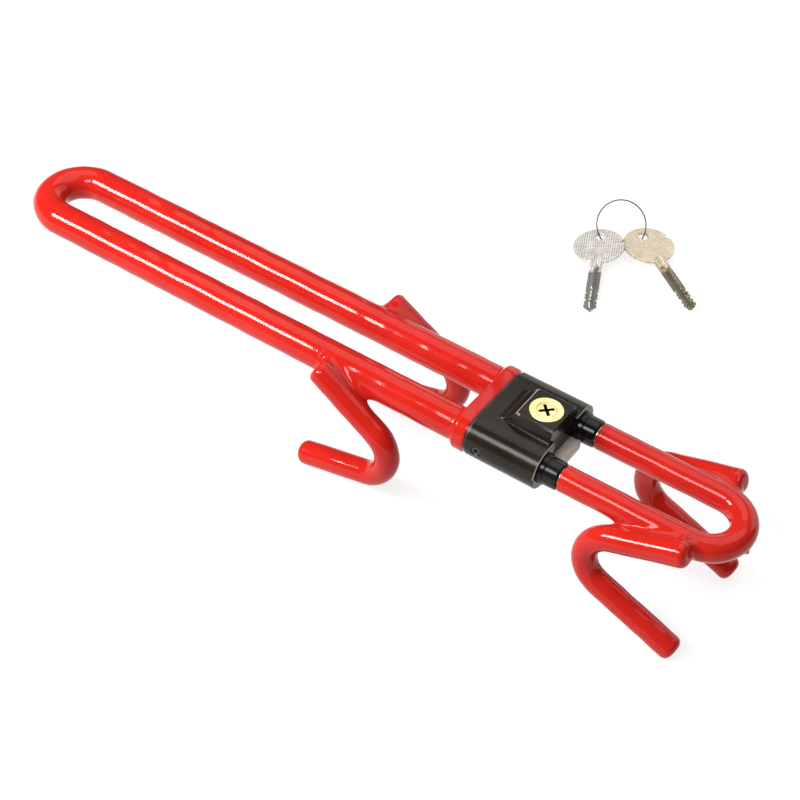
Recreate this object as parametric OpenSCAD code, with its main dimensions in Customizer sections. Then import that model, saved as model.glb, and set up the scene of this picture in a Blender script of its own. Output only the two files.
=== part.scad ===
// Twin-hook steering wheel lock: a long hairpin tube with a key lock at its open end, and a
// U-shaped hook bar that telescopes out of it. Two pairs of hooks catch the rim from inside.
// The origin is the middle of the lock head's flat underside, below the key cylinder.
// +X runs along the bar to the hook bar's bend, +Y to the left-hand leg, +Z up to the keyhole.

/* [Frame tube] */
// Outside diameter of the steel tube
tube_od = 18; // [16:0.5:20]
// Bore of the steel tube, which the hook bar slides in
tube_bore = 14; // [13.8:0.1:15]
// Distance between the axes of the two legs
leg_spacing = 40; // [38:1:48]
// From the key cylinder's axis back to the centre of the tube's bend
frame_reach = 324.5; // [290:0.5:380]
// Thickness of the dipped vinyl skin on the tube and the end plate
frame_skin = 1; // [0.6:0.1:1.4]

/* [Hook bar] */
// Diameter of the solid steel bar that slides in the tube
bar_d = 13; // [12:0.25:13.25]
// From the key cylinder's axis forward to the centre of the bar's bend
bar_reach = 100; // [85:0.5:130]
// How far the bar pulls out
bar_travel = 200; // [150:10:220]
// Distance between two locking notches
notch_pitch = 10; // [8:1:12]
// Depth of a notch below the bar's surface
notch_depth = 3.4; // [3.2:0.1:4]
// Thickness of the dipped vinyl skin on the bar and on all hooks
bar_skin = 1.2; // [0.8:0.1:1.4]

/* [Hooks] */
// Diameter of the steel bar that the hooks are bent from
hook_d = 12; // [11:0.25:13]
// Lowest point of all four hooks, below the plane of the legs
hook_depth = 71.4; // [65:0.2:85]
// Rear hook's root, behind the key cylinder's axis
rear_root_x = -123.7; // [-150:0.1:-115]
// Front hook's root, ahead of the key cylinder's axis
front_root_x = 104.7; // [95:0.1:110]
// Slope of a rear hook's shank below level, in degrees
rear_slope = 30.6; // [22:0.2:36]
// Slope of a front hook's shank below level, in degrees
front_slope = 19; // [15:0.5:30]
// Straight length of a rear hook's shank
rear_shank = 47; // [40:0.5:60]
// Straight length of a front hook's shank
front_shank = 43.5; // [40:0.5:55]
// Radius of a rear hook's bend, on the bar's axis
rear_bend_r = 18.8; // [16:0.2:24]
// Radius of a front hook's bend, on the bar's axis
front_bend_r = 18.6; // [16:0.2:24]
// Straight length of a rear hook's tip
rear_tip = 44; // [36:0.5:52]
// Straight length of a front hook's tip
front_tip = 52.5; // [40:0.5:60]

/* [Lock head] */
// Thickness of the head, which is also the diameter of its round sides
head_t = 25; // [24:0.5:30]
// Wall of the black cover
cover_wall = 2; // [1.5:0.1:2.5]
// Front face of the cover, ahead of the key cylinder's axis
head_front = 13.5; // [12:0.5:18]
// Rear end of the cover, behind the key cylinder's axis
head_rear = 33; // [30:1:42]
// Thickness of the steel end plate
plate_t = 4; // [3:0.5:6]
// Height of the square pad round the key cylinder, above the plane of the legs
pad_top = 20; // [18:0.5:24]
// Length of a guide bush in front of the cover
bush_out = 11; // [8:0.5:16]
// Wall of a guide bush
bush_wall = 2; // [1.5:0.1:2.4]

/* [Lock cylinder] */
// Diameter of the brass face
face_d = 19; // [18:0.5:20]
// Diameter of the cylinder body
barrel_d = 16.5; // [15:0.5:17]
// Diameter of the turning plug
plug_d = 11; // [10:0.5:12]
// Tip-to-tip width of the cross keyway
keyway_w = 8.8; // [7:0.1:9]
// Width of one slot of the cross keyway
keyway_slot = 1.8; // [1.6:0.1:2]
// How far the bolts travel as the key turns a quarter turn
bolt_travel = 3; // [2.6:0.1:3.1]

/* [Keys] */
// Diameter of a key's head
key_head_d = 34; // [26:1:36]
// Thickness of a key's head
key_head_t = 2; // [1.5:0.1:2.2]
// Length of a key's blade, from its root in the head to the tip
key_blade = 48; // [38:1:50]
// Outside diameter of the key ring
ring_d = 35; // [28:1:38]

/* [Hidden] */
$fn = 64;

// clearances
bond_gap = 0.02;    // vinyl to steel, bonded in life
slide_gap = 0.1;    // bar in its bores, on the radius
turn_gap = 0.05;    // turning and sliding lock parts, per side
seat_gap = 0.1;     // parts that are fitted into one another, per side
butt_gap = 0.2;     // coated bar to bush when pushed home
join_step = 0.02;
join_len = 0.3;
steel = "silver";
vinyl = "red";
nickel = "gainsboro";

// derived places
axis_z = head_t / 2;
leg_y = leg_spacing / 2;
tube_r = tube_od / 2;
bar_r = bar_d / 2;
coat_r = bar_r + bar_skin;
hook_r = hook_d / 2;
hook_coat_r = hook_r + bar_skin;
plate_front = -head_rear - frame_skin;
plate_rear = plate_front - plate_t;
plate_r = head_t / 2 - frame_skin + 0.3;
block_r = head_t / 2 - cover_wall - seat_gap;
block_front = head_front - 4.5;
bar_bore_r = bar_r + slide_gap;
bush_r = bar_bore_r + bush_wall;
flange_r = bush_r + 1;
flange_t = 2;
bush_front = head_front + bush_out;

// hooks
hook_end = 1.5;     // chamfer of a coated hook tip
rear_turn = 135;
front_turn = 138.4;
rear_yaw = 1.2;
front_yaw = 1.2;
rear_lean = -0.3;
front_lean = 2.4;
rear_gap = 1.2;     // filled by the weld
front_gap = 0.05;
rear_bead_r = 2;
front_bead_r = 1.6;
bead_len = 7;
// how far the lowest point of a hook lies below its root's centre: shank, bend, tip, half the tip's thickness
function drop(slope, shank, bend_r, turn, tip, lean) = cos(lean) * (shank * sin(slope)
    + bend_r * (cos(slope) - cos(slope + turn)) + (tip + bar_skin - hook_end) * sin(slope + turn)
    - hook_coat_r * cos(slope + turn));
// sideways run of a shank for each unit that it goes down
function side_run(slope, yaw, lean) = (sin(yaw) * cos(slope) + cos(yaw) * sin(lean) * sin(slope))
    / (cos(lean) * sin(slope));
// a root's distance from the head's middle plane, so that the two crossing bars lie dist apart
function root_y(dist, root_z, run) = leg_y + dist * sqrt(1 + run * run) - root_z * run;
rear_root_z = drop(rear_slope, rear_shank, rear_bend_r, rear_turn, rear_tip, rear_lean) - hook_depth;
front_root_z = drop(front_slope, front_shank, front_bend_r, front_turn, front_tip, front_lean) - hook_depth;
rear_run = side_run(rear_slope, rear_yaw, rear_lean);
front_run = side_run(front_slope, front_yaw, front_lean);
rear_root_y = root_y(tube_r + hook_r + rear_gap, rear_root_z, rear_run);
front_root_y = root_y(bar_r + hook_r + front_gap, front_root_z, front_run);
// where a shank crosses its leg, along X
rear_cross_x = rear_root_x + rear_root_z / tan(rear_slope);
front_cross_x = front_root_x - front_root_z / tan(front_slope);

// the pad round the key cylinder, seen from above, at its top and at its foot
pad_half_x = 11.4;
pad_half_y = 12;
pad_foot_rear = -20.5;
pad_foot_y_rear = 13.5;
pad_foot_y_front = 16;
notch_front_w = 11.4;   // half width of the set-back middle of the front face
set_back = head_front - pad_half_x;
ledge_top = -6;         // web between the two bushes
ledge_t = 3;
ledge_front = head_front + 3.6;

// lock cylinder and bolts, heights above the plane of the legs
face_t = 2;
barrel_foot = 2;
plug_r = plug_d / 2;
barrel_r = barrel_d / 2;
pin_r = 0.7;
pin_rows = [14.5, 9.5];
pin_angles = [45, 135, 225, 315];
key_pin_tip = 3.3;
driver_len = 1.2;
keyway_foot = 5.6;
cam_top = 1.7;
cam_t = 2.5;
cam_r = 8.4;
follower_r = 0.8;
follower_in = 3.6;      // follower's distance from the axis when the bolts are drawn in
tail_r = 2.3;
tail_flat = 1.7;
cam_screw_r = 1;
bolt_top = -1;
bolt_t = 4.1;
bolt_w = 8;
bolt_in = 2.7;
bolt_tip = leg_y - sqrt(pow(bar_r, 2) - pow(bolt_top, 2)) - 0.25;
notch_w = 5.6;
bolt_nose = notch_w - 0.6;
bolt_nose_len = bolt_travel + 0.6;
pocket_front = 7.5;
pocket_rear = 22;
pocket_y = 10.6;
bolt_plate_t = 3;
bolt_plate_top = bolt_top - bolt_t - turn_gap;
screw_x = -18;
screw_y = 6.5;
barrel_pin_z = 6.5;
barrel_pin_r = 1.5;
side_screw_x = -22.5;
side_screw_r = 2.45;
stop_len = 6;
stop_neck = 5.4;
stop_end = plate_rear - 0.5 - bar_travel;
bar_tail = stop_end - stop_len;

// keys on their ring, lying on the surface that the hooks stand on
floor_z = axis_z - hook_depth;
key_ring_pos = [-77.4, 250.7];      // where the ring touches the floor
ring_wire = 1.5;
ring_tilt = 45;
ring_turn = 40;         // the two keys hang side by side in this direction
key_spread = 60;        // from the ring's lowest point round to a key's hole
key_hole_r = 3.3;
key_hole_at = 9;        // from the head's centre back to its hole
key_fin_t = 1.4;
key_blade_w = 8.4;
key_collar = 12;        // round root of the blade
key_left_angle = -66;   // ways the blades point, seen from above
key_right_angle = -35;
key_left_roll = 11;     // the left-hand key leans over the other's head
key_right_roll = 0;
ring_r = (ring_d - ring_wire) / 2;
key_hole_z = ring_wire / 2 + ring_r * sin(ring_tilt) * (1 - cos(key_spread));
key_root = key_hole_at + key_head_d / 2 - 2;
// the blade slopes down until its lower fin is on the floor
key_pitch = asin((key_hole_z - key_blade_w / 2 - 0.15) / (key_root + key_blade));

// ---- shapes that repeat

// A bar of radius r along +X, then a bend downwards, then the tip. back and front lengthen its ends.
// The straight parts are a hair thinner than the bend and run into it, so that all three join.
module hook_path(r, shank, bend_r, turn, tip, back = 0, front = 0) {
    translate([-back, 0, 0]) rotate([0, 90, 0]) cylinder(r = r - join_step, h = shank + back + join_len);
    translate([shank, 0, -bend_r]) rotate([90, 0, 0]) rotate([0, 0, 90 - turn])
        rotate_extrude(angle = turn) translate([bend_r, 0]) circle(r);
    translate([shank + bend_r * sin(turn), 0, bend_r * (cos(turn) - 1)])
        rotate([0, turn + 90, 0]) translate([0, 0, -join_len]) cylinder(r = r - join_step, h = tip + front + join_len);
}

// The same, as the vinyl leaves it: a skin thicker, with chamfered ends.
module coated_hook_path(shank, bend_r, turn, tip) {
    flat = bar_skin - hook_end;
    hook_path(hook_coat_r, shank, bend_r, turn, tip, flat, flat);
    translate([-flat + join_len, 0, 0]) rotate([0, -90, 0]) hook_cap();
    translate([shank + bend_r * sin(turn), 0, bend_r * (cos(turn) - 1)]) rotate([0, turn + 90, 0])
        translate([0, 0, tip + flat - join_len]) hook_cap();
}

module hook_cap() {
    rotate_extrude() polygon([[0, 0], [hook_coat_r - 2 * join_step, 0], [hook_coat_r - 2 * join_step, join_len],
        [hook_coat_r - hook_end, join_len + hook_end], [0, join_len + hook_end]]);
}

// Puts a hook drawn along +X in its place at the left-hand rear leg.
module at_rear_hook() {
    translate([rear_root_x, rear_root_y, axis_z + rear_root_z])
        rotate([0, 0, rear_yaw]) rotate([rear_lean, 0, 0]) rotate([0, rear_slope, 0]) children();
}

// The same for the left-hand front hook, which points back at the head.
module at_front_hook() {
    translate([front_root_x, front_root_y, axis_z + front_root_z])
        mirror([1, 0, 0]) rotate([0, 0, front_yaw]) rotate([front_lean, 0, 0]) rotate([0, front_slope, 0])
            children();
}

module rear_hook_steel() {
    at_rear_hook() hook_path(hook_r, rear_shank, rear_bend_r, rear_turn, rear_tip);
}

module front_hook_steel() {
    at_front_hook() hook_path(hook_r, front_shank, front_bend_r, front_turn, front_tip);
}

module rear_hook_outside() {
    at_rear_hook() coated_hook_path(rear_shank, rear_bend_r, rear_turn, rear_tip);
}

module front_hook_outside() {
    at_front_hook() coated_hook_path(front_shank, front_bend_r, front_turn, front_tip);
}

// Two weld beads along the left-hand leg, in the nips above and below the place where a hook crosses it.
module beads(x, y, r, grow) {
    for (z = [-1, 1]) translate([x - bead_len / 2 - grow, y, axis_z + z * (r + 0.9)])
        rotate([0, 90, 0]) cylinder(r = r + grow, h = bead_len + 2 * grow);
}

module rear_beads(grow = 0) {
    beads(rear_cross_x, leg_y + tube_r + rear_gap / 2, rear_bead_r, grow);
}

module front_beads(grow = 0) {
    beads(front_cross_x, leg_y + bar_r, front_bead_r, grow);
}

// A hairpin of radius r: two legs from x = open to the bend's centre at x = closed.
module hairpin(r, open, closed) {
    side = sign(closed - open);
    for (y = [-leg_y, leg_y]) translate([min(open, closed), y, axis_z])
        rotate([0, 90, 0]) cylinder(r = r, h = abs(closed - open));
    translate([closed, 0, axis_z]) rotate([0, 0, -90 * side])
        rotate_extrude(angle = 180) translate([leg_y, 0]) circle(r);
}

// The head's outline: a bar with round sides, r thick each way, between two stations along X.
module stadium(r, from, to) {
    translate([from, 0, axis_z]) rotate([90, 0, 90]) linear_extrude(to - from) union() {
        square([leg_spacing, 2 * r], center = true);
        for (y = [-leg_y, leg_y]) translate([y, 0]) circle(r);
    }
}

module both_sides() {
    children();
    mirror([0, 1, 0]) children();
}

module leg_bores(r, from, to) {
    for (y = [-leg_y, leg_y]) translate([from, y, axis_z]) rotate([0, 90, 0]) cylinder(r = r, h = to - from);
}

// ---- frame

module frame_tube() {
    color(steel) difference() {
        hairpin(tube_r, plate_rear, -frame_reach);
        hairpin(tube_bore / 2, plate_rear + 1, -frame_reach);
    }
}

module end_plate() {
    color(steel) difference() {
        stadium(plate_r, plate_rear + bond_gap, plate_front);
        leg_bores(bar_bore_r + seat_gap, plate_rear - 1, plate_front + 1);
    }
}

module rear_hook_left() {
    color(steel) rear_hook_steel();
}

module rear_hook_right() {
    mirror([0, 1, 0]) rear_hook_left();
}

module rear_welds() {
    color("dimgray") both_sides() difference() {
        rear_beads();
        leg_of_frame();
        at_rear_hook() hook_path(hook_r + bond_gap, rear_shank, rear_bend_r, rear_turn, rear_tip, 1);
    }
}

// One skin over the tube and the plate, open where the hooks are welded on and where the block meets the plate.
module frame_coating() {
    color(vinyl) difference() {
        union() {
            hairpin(tube_r + frame_skin, plate_rear, -frame_reach);
            stadium(plate_r + frame_skin, plate_rear - frame_skin, -head_rear);
        }
        hairpin(tube_r + bond_gap, plate_rear + 1, -frame_reach);
        stadium(plate_r + bond_gap, plate_rear - bond_gap / 2, plate_front + bond_gap);
        stadium(block_r + seat_gap, plate_front, -head_rear + 1);
        both_sides() at_rear_hook()
            hook_path(hook_coat_r + bond_gap, rear_shank, rear_bend_r, rear_turn, rear_tip, bar_skin, bar_skin);
        both_sides() rear_beads(bond_gap);
    }
}

module rear_hook_coating_left() {
    color(vinyl) difference() {
        rear_hook_outside();
        at_rear_hook() hook_path(hook_r + bond_gap, rear_shank, rear_bend_r, rear_turn, rear_tip,
            bond_gap, bond_gap);
        leg_of_frame();
        rear_beads(bond_gap);
    }
}

module leg_of_frame() {
    translate([-frame_reach, leg_y, axis_z]) rotate([0, 90, 0])
        cylinder(r = tube_r + bond_gap, h = frame_reach + plate_rear);
}

module rear_hook_coating_right() {
    mirror([0, 1, 0]) rear_hook_coating_left();
}

// ---- hook bar

module bar_notches() {
    for (k = [0 : floor(bar_travel / notch_pitch)]) for (s = [-1, 1])
        translate([-k * notch_pitch - notch_w / 2, s * (leg_y - bar_r) - notch_depth, axis_z - bar_r - 1])
            cube([notch_w, 2 * notch_depth, bar_d + 2]);
}

module hook_bar() {
    color(steel) difference() {
        union() {
            hairpin(bar_r, stop_end, bar_reach);
            leg_bores(stop_neck, bar_tail, stop_end);
        }
        bar_notches();
    }
}

module front_hook_left() {
    color(steel) front_hook_steel();
}

module front_hook_right() {
    mirror([0, 1, 0]) front_hook_left();
}

module front_welds() {
    color("dimgray") both_sides() difference() {
        front_beads();
        hairpin(bar_r + bond_gap, bush_front, bar_reach);
        at_front_hook() hook_path(hook_r + bond_gap, front_shank, front_bend_r, front_turn, front_tip, 1);
    }
}

module bar_coating() {
    color(vinyl) difference() {
        hairpin(coat_r, bush_front + butt_gap, bar_reach);
        hairpin(bar_r + bond_gap, bush_front - 1, bar_reach);
        both_sides() at_front_hook()
            hook_path(hook_coat_r + bond_gap, front_shank, front_bend_r, front_turn, front_tip, bar_skin, bar_skin);
        both_sides() front_beads(bond_gap);
    }
}

module front_hook_coating_left() {
    color(vinyl) difference() {
        front_hook_outside();
        at_front_hook() hook_path(hook_r + bond_gap, front_shank, front_bend_r, front_turn, front_tip,
            bond_gap, bond_gap);
        hairpin(bar_r + bond_gap, bush_front, bar_reach);
        front_beads(bond_gap);
    }
}

module front_hook_coating_right() {
    mirror([0, 1, 0]) front_hook_coating_left();
}

module stop_rings() {
    color(steel) difference() {
        leg_bores(tube_bore / 2 - slide_gap, bar_tail, stop_end - bond_gap);
        leg_bores(stop_neck + bond_gap, bar_tail - 1, stop_end + 1);
    }
}

// ---- lock head

module lock_block() {
    color("dimgray") difference() {
        union() {
            stadium(block_r, plate_front, block_front);
            translate([-boss_half, -boss_half, axis_z]) cube([2 * boss_half, 2 * boss_half, pad_top - face_t - seat_gap]);
        }
        leg_bores(bar_bore_r, plate_front - 1, block_front + 1);
        translate([0, 0, axis_z]) cylinder(r = barrel_r + turn_gap, h = pad_top);
        translate([0, 0, axis_z + bolt_plate_top - 0.1]) cylinder(r = cam_r + seat_gap, h = cam_top + 0.2 - bolt_plate_top);
        bolt_channel(bolt_w, bolt_tip - bolt_nose_len + bolt_travel + seat_gap);
        bolt_channel(bolt_nose, leg_y - 2);
        translate([-pocket_rear, -pocket_y, -1])
            cube([pocket_rear + pocket_front, 2 * pocket_y, axis_z + bolt_plate_top + 1]);
        for (y = [-screw_y, screw_y]) translate([screw_x, y, axis_z + bolt_plate_top - 1]) cylinder(r = 1.5, h = 8);
        translate([plate_front - 1, 0, axis_z + barrel_pin_z]) rotate([0, 90, 0])
            cylinder(r = barrel_pin_r + bond_gap, h = -plate_front);
        both_sides() translate([side_screw_x, leg_y, axis_z]) rotate([-90, 0, 0])
            cylinder(r = side_screw_r + bond_gap, h = head_t);
    }
}

boss_half = pad_half_x - cover_wall - seat_gap;

module bolt_channel(w, reach) {
    translate([-w / 2 - turn_gap, -reach, axis_z + bolt_plate_top - 0.1])
        cube([w + 2 * turn_gap, 2 * reach, bolt_t + 0.1 + 2 * turn_gap]);
}

// The pad's slanting sides, from its foot on the head up to its square top.
module pad(grow = 0, top = pad_top) {
    foot_z = axis_z + head_t / 2 - cover_wall;
    front = pad_half_x - grow;
    polyhedron(
        points = [
            [pad_foot_rear + 2 * grow, -pad_foot_y_rear + grow, foot_z],
            [front, -pad_foot_y_front + grow, foot_z],
            [front, pad_foot_y_front - grow, foot_z],
            [pad_foot_rear + 2 * grow, pad_foot_y_rear - grow, foot_z],
            [-pad_half_x + grow, -pad_half_y + grow, axis_z + top],
            [front, -pad_half_y + grow, axis_z + top],
            [front, pad_half_y - grow, axis_z + top],
            [-pad_half_x + grow, pad_half_y - grow, axis_z + top]],
        faces = [[0, 1, 2, 3], [4, 7, 6, 5], [0, 4, 5, 1], [1, 5, 6, 2], [2, 6, 7, 3], [3, 7, 4, 0]]);
}

module head_cover() {
    color([0.09, 0.09, 0.09]) difference() {
        union() {
            difference() {
                stadium(head_t / 2, -head_rear, head_front);
                translate([head_front - set_back, -notch_front_w, -1])
                    cube([head_t, 2 * notch_front_w, head_t + 2]);
            }
            pad();
            // web between the bushes
            translate([head_front - set_back - 1, -notch_front_w, axis_z + ledge_top - ledge_t])
                cube([ledge_front - head_front + set_back + 1, 2 * notch_front_w, ledge_t]);
        }
        stadium(block_r + seat_gap, -head_rear - 1, block_front + seat_gap);
        translate([-boss_half - seat_gap, -boss_half - seat_gap, axis_z])
            cube([2 * (boss_half + seat_gap), 2 * (boss_half + seat_gap), pad_top - face_t]);
        leg_bores(flange_r + seat_gap, block_front, block_front + flange_t + seat_gap);
        leg_bores(bush_r + bond_gap, block_front, bush_front);
        translate([0, 0, axis_z]) cylinder(r = face_d / 2 + seat_gap, h = pad_top + 1);
        both_sides() translate([side_screw_x, leg_y, axis_z]) rotate([-90, 0, 0])
            cylinder(r = side_screw_r + seat_gap, h = head_t);
    }
}

// Left-hand bush: it guides the bar and is held by its flange between block and cover.
module guide_bush_left() {
    color([0.09, 0.09, 0.09]) translate([block_front + bond_gap, leg_y, axis_z]) rotate([0, 90, 0]) difference() {
        union() {
            cylinder(r = flange_r, h = flange_t);
            cylinder(r = bush_r, h = bush_front - block_front - bond_gap - 0.6);
            translate([0, 0, bush_front - block_front - bond_gap - 0.6])
                cylinder(r1 = bush_r, r2 = bush_r - 0.6, h = 0.6);
        }
        translate([0, 0, -1]) cylinder(r = bar_bore_r - turn_gap, h = bush_front);
    }
}

module guide_bush_right() {
    mirror([0, 1, 0]) guide_bush_left();
}

// Two grub screws with hexagon sockets pin the cover to the block.
module cover_screws() {
    len = block_r + cover_wall - bar_bore_r - 0.9;
    color("dimgray") both_sides() translate([side_screw_x, leg_y + bar_bore_r + 0.4, axis_z])
        rotate([-90, 0, 0]) difference() {
            cylinder(r = side_screw_r, h = len);
            translate([0, 0, len - 2]) cylinder(r = 1.45, h = 3, $fn = 6);
        }
}

// ---- lock cylinder

module pin_stacks(r, from, to) {
    for (z = pin_rows) for (a = pin_angles)
        translate([0, 0, axis_z + z]) rotate([0, 90, a]) translate([0, 0, from]) cylinder(r = r, h = to - from);
}

module lock_barrel() {
    color("gold") difference() {
        union() {
            translate([0, 0, axis_z + barrel_foot]) cylinder(r = barrel_r, h = pad_top - barrel_foot - 1);
            translate([0, 0, axis_z + pad_top - face_t]) cylinder(r = face_d / 2, h = face_t);
        }
        translate([0, 0, axis_z]) cylinder(r = plug_r + turn_gap, h = pad_top + 1);
        pin_stacks(pin_r + turn_gap, plug_r - 1, barrel_r + 1);
        translate([-barrel_r - 1, 0, axis_z + barrel_pin_z]) rotate([0, 90, 0])
            cylinder(r = barrel_pin_r + turn_gap, h = 2.4);
    }
}

module barrel_pin() {
    color(steel) translate([plate_front + bond_gap, 0, axis_z + barrel_pin_z]) rotate([0, 90, 0])
        cylinder(r = barrel_pin_r, h = -plate_front - barrel_r + 1.2);
}

module lock_plug() {
    color("gold") difference() {
        union() {
            translate([0, 0, axis_z + barrel_foot]) cylinder(r = plug_r, h = pad_top - 0.3 - barrel_foot);
            translate([0, 0, axis_z + cam_top - cam_t]) intersection() {
                cylinder(r = tail_r, h = cam_t + 1);
                translate([-tail_r, -tail_flat, 0]) cube([2 * tail_r, 2 * tail_flat, cam_t + 1]);
            }
        }
        translate([0, 0, axis_z + keyway_foot]) {
            for (a = [45, 135]) rotate([0, 0, a])
                translate([-keyway_w / 2, -keyway_slot / 2, 0]) cube([keyway_w, keyway_slot, pad_top]);
            cylinder(r = 1.5, h = pad_top);
        }
        pin_stacks(pin_r + turn_gap, key_pin_tip - 0.1, plug_r + 1);
        cylinder(r = cam_screw_r + bond_gap, h = axis_z + keyway_foot - 1);
    }
}

module key_pins() {
    color("gold") pin_stacks(pin_r, key_pin_tip, plug_r);
}

module driver_pins() {
    color(steel) pin_stacks(pin_r, plug_r + 2 * turn_gap, plug_r + 2 * turn_gap + driver_len);
}

// One small coil spring along +Z: a tube of 6 sides swept round a helix.
module coil(coil_r, wire_r, length, turns) {
    sides = 6;
    steps = 7 * turns;
    rise = length - 2 * wire_r;
    ring = [for (i = [0 : steps]) for (k = [0 : sides - 1])
        let (a = 360 * turns * i / steps, b = 360 * k / sides, rr = coil_r + wire_r * cos(b))
            [rr * cos(a), rr * sin(a), wire_r + rise * i / steps + wire_r * sin(b)]];
    skin = [for (i = [0 : steps - 1]) for (k = [0 : sides - 1]) for (half = [0, 1])
        let (n = (k + 1) % sides, a = i * sides, b = a + sides)
            half == 0 ? [a + k, a + n, b + n] : [a + k, b + n, b + k]];
    end = steps * sides;
    polyhedron(points = ring, faces = concat(skin,
        [for (k = [1 : sides - 2]) [0, k + 1, k]], [for (k = [1 : sides - 2]) [end, end + k, end + k + 1]]));
}

module pin_springs() {
    from = plug_r + 3 * turn_gap + driver_len;
    color(steel) for (z = pin_rows) for (a = pin_angles)
        translate([0, 0, axis_z + z]) rotate([0, 90, a]) translate([0, 0, from])
            coil(pin_r - 0.16, 0.13, barrel_r - from - 0.02, 2);
}

// Spiral slot: its distance from the axis grows evenly with the angle, so the bolts move evenly.
// It runs on level past both ends, to clear the round follower.
module spiral_slot(start) {
    steps = 24;
    over_in = 18;
    over_out = 10;
    function at(i) = start - over_in + (90 + over_in + over_out) * i / steps;
    function reach(i) = follower_in + bolt_travel * min(1, max(0, (at(i) - start) / 90));
    // half width, measured outwards, of a slot that rises by bolt_travel in a quarter turn
    function half(i) = (follower_r + turn_gap) * sqrt(1 + pow(bolt_travel * 2 / PI / reach(i), 2));
    polygon(concat(
        [for (i = [0 : steps]) (reach(i) - half(i)) * [cos(at(i)), sin(at(i))]],
        [for (i = [steps : -1 : 0]) (reach(i) + half(i)) * [cos(at(i)), sin(at(i))]]));
}

module cam_plate() {
    color(steel) translate([0, 0, axis_z + cam_top - cam_t]) linear_extrude(cam_t) difference() {
        circle(cam_r);
        intersection() {
            circle(tail_r + turn_gap);
            square([2 * tail_r + 1, 2 * (tail_flat + turn_gap)], center = true);
        }
        spiral_slot(90);
        spiral_slot(270);
    }
}

module cam_screw() {
    color(steel) translate([0, 0, axis_z + cam_top - cam_t - bond_gap]) {
        mirror([0, 0, 1]) difference() {
            cylinder(r = 2.1, h = 1.3);
            translate([-0.3, -3, 0.8]) cube([0.6, 6, 1]);
        }
        cylinder(r = cam_screw_r, h = 5);
    }
}

// Left-hand bolt, drawn in: a flat bar with a narrow nose for the notches and a round follower on top.
module lock_bolt_left() {
    color(steel) union() {
        translate([-bolt_w / 2, bolt_in, axis_z + bolt_top - bolt_t])
            cube([bolt_w, bolt_tip - bolt_nose_len - bolt_in, bolt_t]);
        translate([-bolt_nose / 2, bolt_in + 1, axis_z + bolt_top - bolt_t])
            cube([bolt_nose, bolt_tip - bolt_in - 1, bolt_t]);
        translate([0, follower_in, axis_z + bolt_top - 0.5])
            cylinder(r = follower_r, h = cam_top - bolt_top + 0.3);
    }
}

module lock_bolt_right() {
    mirror([0, 1, 0]) lock_bolt_left();
}

// Closes the pocket below the bolts.
module bolt_plate() {
    color(steel) difference() {
        translate([-pocket_rear + seat_gap, -pocket_y + seat_gap, axis_z + bolt_plate_top - bolt_plate_t])
            cube([pocket_rear + pocket_front - 2 * seat_gap, 2 * (pocket_y - seat_gap), bolt_plate_t - turn_gap]);
        for (y = [-screw_y, screw_y]) translate([screw_x, y, 0]) cylinder(r = 1.6, h = axis_z);
    }
}

module bolt_plate_screws() {
    head_z = axis_z + bolt_plate_top - bolt_plate_t;
    color(steel) for (y = [-screw_y, screw_y]) translate([screw_x, y, head_z]) {
        cylinder(r = 1.47, h = bolt_plate_t + 5);
        translate([0, 0, -1.6]) difference() {
            cylinder(r = 2.75, h = 1.6);
            translate([0, 0, -1]) cylinder(r = 1.2, h = 2, $fn = 6);
        }
    }
}

// ---- keys

// Puts a key drawn with its hole at the origin and its blade along +X on its side of the ring.
module at_key(side, angle, roll) {
    translate([key_ring_pos[0], key_ring_pos[1], floor_z]) rotate([0, 0, ring_turn])
        translate([side * ring_r * sin(key_spread), ring_r * cos(ring_tilt) * (1 - cos(key_spread)), key_hole_z])
            rotate([0, 0, angle - ring_turn]) rotate([0, key_pitch, 0]) rotate([roll, 0, 0]) children();
}

// Cross-bladed key: a flat round head, a round collar, and four fins with cuts near the tip.
module cross_key(cuts) {
    head_r = key_head_d / 2;
    root = key_root;
    color(nickel) difference() {
        union() {
            difference() {
                translate([key_hole_at, 0, -key_head_t / 2]) cylinder(r = head_r, h = key_head_t);
                translate([key_hole_at - 4, head_r + 0.4, -5]) cylinder(r = 3, h = 10);
            }
            translate([root - 1, 0, 0]) rotate([0, 90, 0]) cylinder(r = 3.9, h = key_collar);
            for (side = [0, 90]) rotate([side, 0, 0]) difference() {
                translate([root, -key_blade_w / 2, -key_fin_t / 2]) cube([key_blade, key_blade_w, key_fin_t]);
                for (s = [-1, 1]) for (c = [0 : len(cuts) - 1])
                    translate([root + key_blade - 5 - 3.6 * c, s * key_blade_w / 2, 0])
                        rotate([0, 0, 45]) cube([cuts[c], cuts[c], 3], center = true);
                // pointed end
                for (s = [-1, 1]) translate([root + key_blade + 0.4, s * key_blade_w / 2, 0])
                    rotate([0, 0, 45]) cube([4, 4, 3], center = true);
            }
        }
        translate([0, 0, -5]) cylinder(r = key_hole_r, h = 10);
    }
}

module key_left() {
    at_key(-1, key_left_angle, key_left_roll) cross_key([1.4, 2.2, 1, 1.8]);
}

module key_right() {
    at_key(1, key_right_angle, key_right_roll) cross_key([1.4, 2.2, 1, 1.8]);
}

// Round wire ring, leaning on the heads of the two keys that hang on it.
module key_ring() {
    color(nickel) translate([key_ring_pos[0], key_ring_pos[1], floor_z + ring_wire / 2])
        rotate([0, 0, ring_turn]) rotate([ring_tilt, 0, 0]) translate([0, ring_r, 0])
            rotate_extrude() translate([ring_r, 0]) circle(ring_wire / 2, $fn = 24);
}

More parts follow.
